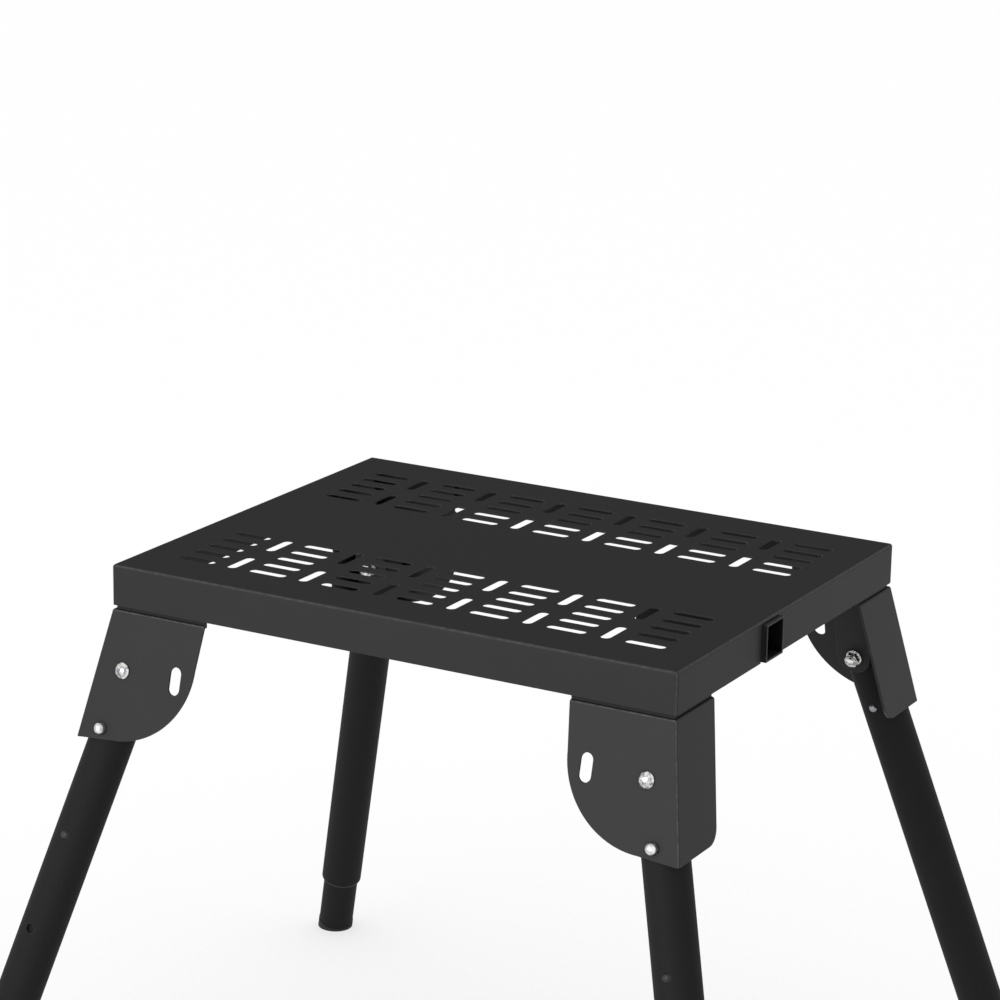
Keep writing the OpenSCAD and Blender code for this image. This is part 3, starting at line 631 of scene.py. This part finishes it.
# %% The thread tree
def thread_tree():
    tree, given = new_tree("bolt_thread", ["Radius", "Pitch", "Turns", "Depth"])
    rise = add(tree, "ShaderNodeMath", links={0: given["Pitch"], 1: given["Turns"]},
               operation="MULTIPLY")
    helix = add(tree, "GeometryNodeCurveSpiral", {"Resolution": 40},
                {"Rotations": given["Turns"], "Start Radius": given["Radius"],
                 "End Radius": given["Radius"], "Height": rise.outputs[0]})
    profile = add(tree, "GeometryNodeCurvePrimitiveCircle", {"Resolution": 4},
                  {"Radius": given["Depth"]}, mode="RADIUS")
    ridge = add(tree, "GeometryNodeCurveToMesh", {"Fill Caps": True},
                {"Curve": helix.outputs[0], "Profile Curve": profile.outputs[0]})
    way = add(tree, "GeometryNodeInputNamedAttribute", {"Name": "way"}, data_type="FLOAT_VECTOR")
    turn = add(tree, "FunctionNodeAlignRotationToVector", links={"Vector": way.outputs[0]}, axis="Z")
    four = add(tree, "GeometryNodeInstanceOnPoints",
               links={"Points": given["Geometry"], "Instance": ridge.outputs[0],
                      "Rotation": turn.outputs[0]})
    close_tree(tree, four.outputs[0], given["Finish"])
    return tree


# %% Cut the threads
THREAD_START = 0.0355
THREAD = {"Radius": 0.0039, "Pitch": 0.00085, "Turns": 1.5, "Depth": 0.0003}
points, ways = [], []
for corner in CORNERS:
    pivot = Vector(joint_named(corner + "_fold")["pos_m"])
    inward = Vector(joint_named(corner + "_fold_button")["axis"]).normalized()
    points.append(tuple(pivot + inward * THREAD_START))
    ways.append(inward)
seed = bpy.data.meshes.new("bolt_ends")
seed.from_pydata(points, [], [])
way = seed.attributes.new("way", "FLOAT_VECTOR", "POINT")
for i, direction in enumerate(ways):
    way.data[i].vector = direction
threads = grow("bolt_threads", seed, thread_tree(), {**THREAD, "Finish": zinc})
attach(threads, "frame")

# %% [markdown]
# ## Floor
#
# The stand is shown on a plain pale floor. To the camera, and in reflections, the floor is mostly clear
# and shows the even white of the world behind it. Under a pale sky a thing's shadow is the part of the
# sky that it hides, which ambient occlusion measures, so that tints the clear floor. The rest is paint,
# lifted by a glow that only the camera and reflections see, so that lit paint is nearly white.
#
# Every other ray meets an ordinary pale floor, so the light that bounces up under the table is what a
# studio would give. The underside is quite clear, as a glass floor would be, so the stand can be looked
# at from below, and feet that are let down past the floor stay in sight.

# %% Floor
CLEAR_SHARE = 0.93
FLOOR_LIFT = 0.45
SHADOW_REACH = 1.2
SHADOW_TONE = 0.8
SHADOW_FULL = 0.5
FLOOR_HALF = 40.0


def pale_floor(name):
    material, tree, _ = new_material(name)
    seen = add(tree, "ShaderNodeLightPath").outputs
    camera_or_glossy = add(tree, "ShaderNodeMath",
                           links={0: seen["Is Camera Ray"], 1: seen["Is Glossy Ray"]},
                           operation="MAXIMUM")
    any_view = add(tree, "ShaderNodeMath",
                   links={0: camera_or_glossy.outputs[0], 1: seen["Is Transmission Ray"]},
                   operation="MAXIMUM")
    share = add(tree, "ShaderNodeMath", {1: CLEAR_SHARE}, {0: any_view.outputs[0]},
                operation="MULTIPLY")
    lift = add(tree, "ShaderNodeMath", {1: FLOOR_LIFT}, {0: any_view.outputs[0]},
               operation="MULTIPLY")
    glow = add(tree, "ShaderNodeEmission", links={"Strength": lift.outputs[0]})
    diffuse = add(tree, "ShaderNodeBsdfDiffuse", {"Color": colour("#f2f2f2")})
    paint = add(tree, "ShaderNodeAddShader", links={0: diffuse.outputs[0], 1: glow.outputs[0]})
    underside = add(tree, "ShaderNodeNewGeometry").outputs["Backfacing"]
    clear_share = add(tree, "ShaderNodeMath", links={0: share.outputs[0], 1: underside},
                      operation="MAXIMUM")
    open_sky = add(tree, "ShaderNodeAmbientOcclusion", {"Distance": SHADOW_REACH},
                   samples=8).outputs["AO"]
    lit = add(tree, "ShaderNodeMapRange", {"From Min": SHADOW_FULL, "To Min": SHADOW_TONE},
              {"Value": open_sky})
    pale = add(tree, "ShaderNodeMath", links={0: lit.outputs[0], 1: underside}, operation="MAXIMUM")
    clear = add(tree, "ShaderNodeBsdfTransparent", links={"Color": pale.outputs[0]})
    mixed = add(tree, "ShaderNodeMixShader",
                links={0: clear_share.outputs[0], 1: paint.outputs[0], 2: clear.outputs[0]})
    finish_material(tree, mixed)
    return material


floor_mesh = bpy.data.meshes.new("floor")
floor_mesh.from_pydata([(-FLOOR_HALF, -FLOOR_HALF, 0), (FLOOR_HALF, -FLOOR_HALF, 0),
                        (FLOOR_HALF, FLOOR_HALF, 0), (-FLOOR_HALF, FLOOR_HALF, 0)], [], [(0, 1, 2, 3)])
floor = bpy.data.objects.new("floor", floor_mesh)
floor_mesh.materials.append(pale_floor("pale_floor_paint"))
bpy.context.collection.objects.link(floor)
print("floor is", 2 * FLOOR_HALF, "m across")

# %% [markdown]
# ## Light
#
# Black needs soft light with a direction: a broad lamp in front for the faces that look that way, a weak
# one on the right, and a pale room all round. The room lights surfaces at half its level and shows as
# plain white only to the camera and in reflections.

# %% World and lamps
ROOM_LIGHT = 0.5
LAMP_SIZE = 2.4
MIDDLE = (0.0, 0.0, 0.45)

world = bpy.data.worlds.new("pale_room")
bpy.context.scene.world = world
world.use_nodes = True
world.node_tree.nodes.clear()
seen = add(world.node_tree, "ShaderNodeLightPath").outputs
seen_directly = add(world.node_tree, "ShaderNodeMath",
                    links={0: seen["Is Camera Ray"], 1: seen["Is Glossy Ray"]}, operation="MAXIMUM")
shown = add(world.node_tree, "ShaderNodeMath",
            links={0: seen_directly.outputs[0], 1: seen["Is Transmission Ray"]}, operation="MAXIMUM")
level = add(world.node_tree, "ShaderNodeMapRange", {"To Min": ROOM_LIGHT, "To Max": 1.0},
            {"Value": shown.outputs[0]})
sky = add(world.node_tree, "ShaderNodeBackground", {"Color": (1.0, 1.0, 1.0, 1.0)},
          {"Strength": level.outputs[0]})
add(world.node_tree, "ShaderNodeOutputWorld", links={"Surface": sky.outputs[0]})


def soft_lamp(name, place, watts):
    """A square lamp that looks at the middle of the table."""
    lamp = bpy.data.objects.new(name, bpy.data.lights.new(name, "AREA"))
    lamp.data.shape = "SQUARE"
    lamp.data.size = LAMP_SIZE
    lamp.data.energy = watts
    lamp.location = place
    lamp.rotation_euler = (Vector(MIDDLE) - Vector(place)).to_track_quat("-Z", "Y").to_euler()
    bpy.context.collection.objects.link(lamp)
    print(name, watts, "W at", place)


soft_lamp("key_lamp", (-0.6, -3.6, 1.5), 100.0)
soft_lamp("fill_lamp", (3.6, -0.8, 1.4), 3.0)
